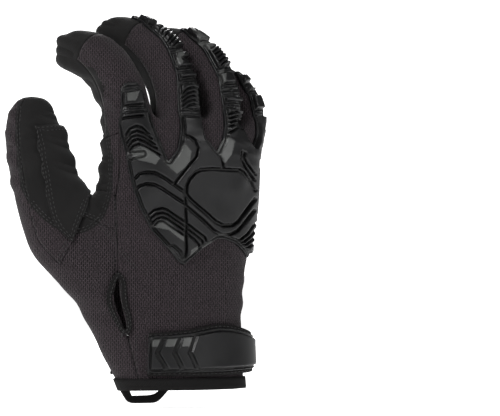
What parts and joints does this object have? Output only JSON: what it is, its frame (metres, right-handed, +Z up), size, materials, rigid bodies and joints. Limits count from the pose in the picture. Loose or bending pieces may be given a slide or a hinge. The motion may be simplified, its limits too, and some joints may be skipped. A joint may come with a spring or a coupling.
{
  "type": "impact work glove",
  "caption": "Right-hand padded work glove with a moulded rubber guard over the back and fingers, a closed wrist strap and a pull loop, held as on a half-closed hand.",
  "frame": {"origin": "centre of the wrist opening, in the plane of the hem", "axes": "+Z up the hand to the fingers, -Y out of the back of the hand, -X towards the thumb"},
  "size_m": [0.1645, 0.0816, 0.2415],
  "materials": {
    "knit": "matt stretch knit",
    "suede": "matt napped synthetic suede",
    "guard_rubber": "satin moulded rubber",
    "strap_web": "matt woven",
    "binding": "matt woven tape"
  },
  "bodies": {
    "root": {"back_panel": "knit", "cuff_panel": "knit", "finger_base_patch": "suede", "hem_tape": "binding", "impact_guard": "guard_rubber", "inner_heel_pad": "suede", "outer_heel_pad": "suede", "palm_panel": "suede", "pull_loop": "binding", "pull_patch": "suede", "slit_tape": "binding", "strap_plate": "guard_rubber", "thumb_gusset": "knit", "thumb_panel": "suede", "thumb_patch": "suede", "wrist_strap": "strap_web"}
  },
  "joints": []
}
